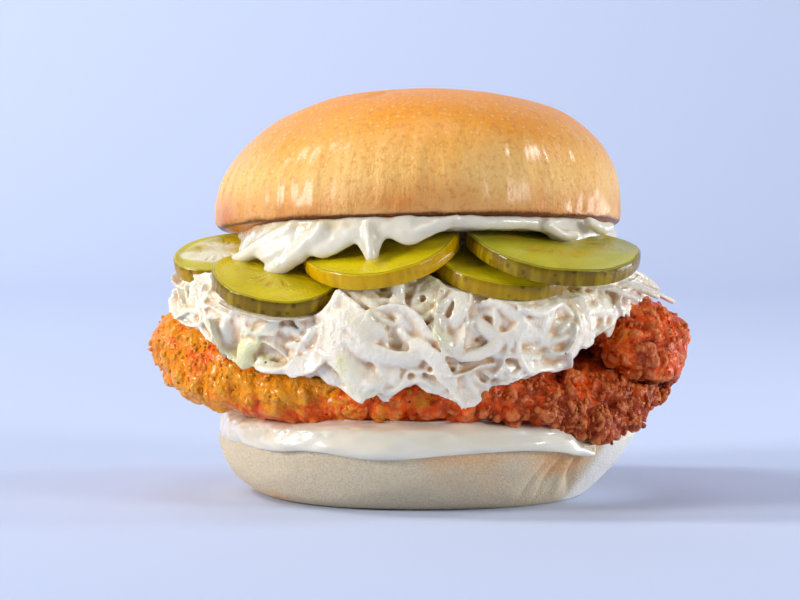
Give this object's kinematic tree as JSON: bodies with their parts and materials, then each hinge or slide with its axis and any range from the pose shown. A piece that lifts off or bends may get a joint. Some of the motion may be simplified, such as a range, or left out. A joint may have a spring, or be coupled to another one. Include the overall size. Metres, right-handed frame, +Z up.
{
  "type": "chicken burger",
  "caption": "Fried chicken burger in a soft bun: a craggy fillet wider than the bun, a heap of creamy slaw, pickle slices and white sauce.",
  "frame": {"origin": "on the plane the bun stands on, under the middle of the whole burger's bounding box", "axes": "+X to the burger's right as seen in the picture and along its longest side, -Y to the front, +Z up"},
  "size_m": [0.1324, 0.1138, 0.101],
  "materials": {
    "bun_crust": "golden baked crust, soft shine",
    "bun_crumb": "pale floury crust, matt",
    "batter": "craggy fried crust with a thin film of oil",
    "sauce": "thick white sauce, glossy",
    "slaw": "shredded cabbage coated in creamy sauce, wet",
    "pickle": "yellow-green flesh with a darker rind, wet"
  },
  "bodies": {
    "root": {"bun_heel": "bun_crumb", "lower_sauce": "sauce", "chicken_fillet": "batter", "slaw": "slaw", "pickle_left": "pickle", "pickle_front_left": "pickle", "pickle_front_middle": "pickle", "pickle_front_low": "pickle", "pickle_front_right": "pickle", "pickle_right": "pickle", "pickle_back_right": "pickle", "pickle_back_middle": "pickle", "pickle_back_left": "pickle", "upper_sauce": "sauce", "bun_crown": "bun_crust"}
  },
  "joints": []
}
